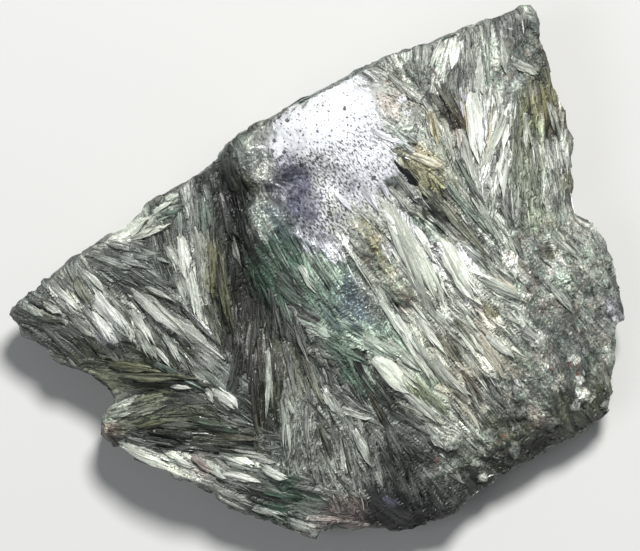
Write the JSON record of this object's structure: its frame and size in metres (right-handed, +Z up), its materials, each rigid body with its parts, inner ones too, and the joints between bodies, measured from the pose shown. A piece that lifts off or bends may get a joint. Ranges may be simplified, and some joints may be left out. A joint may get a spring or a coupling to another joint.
{
  "type": "serpentinite hand specimen",
  "caption": "Broken hand-size piece of serpentinite lying on a flat break, with fans of flat serpentine blades standing out of its upper face.",
  "frame": {"origin": "middle of the piece's outline on the flat bed face that it lies on", "axes": "+X along the piece's length towards the coarse-grained end, +Y towards the two long joint faces, +Z up out of the bladed face"},
  "size_m": [0.0935, 0.0806, 0.0307],
  "materials": {
    "serpentine": "satin, silky along the blades, polished on the dome"
  },
  "bodies": {
    "root": {"serpentinite": "serpentine"}
  },
  "joints": []
}
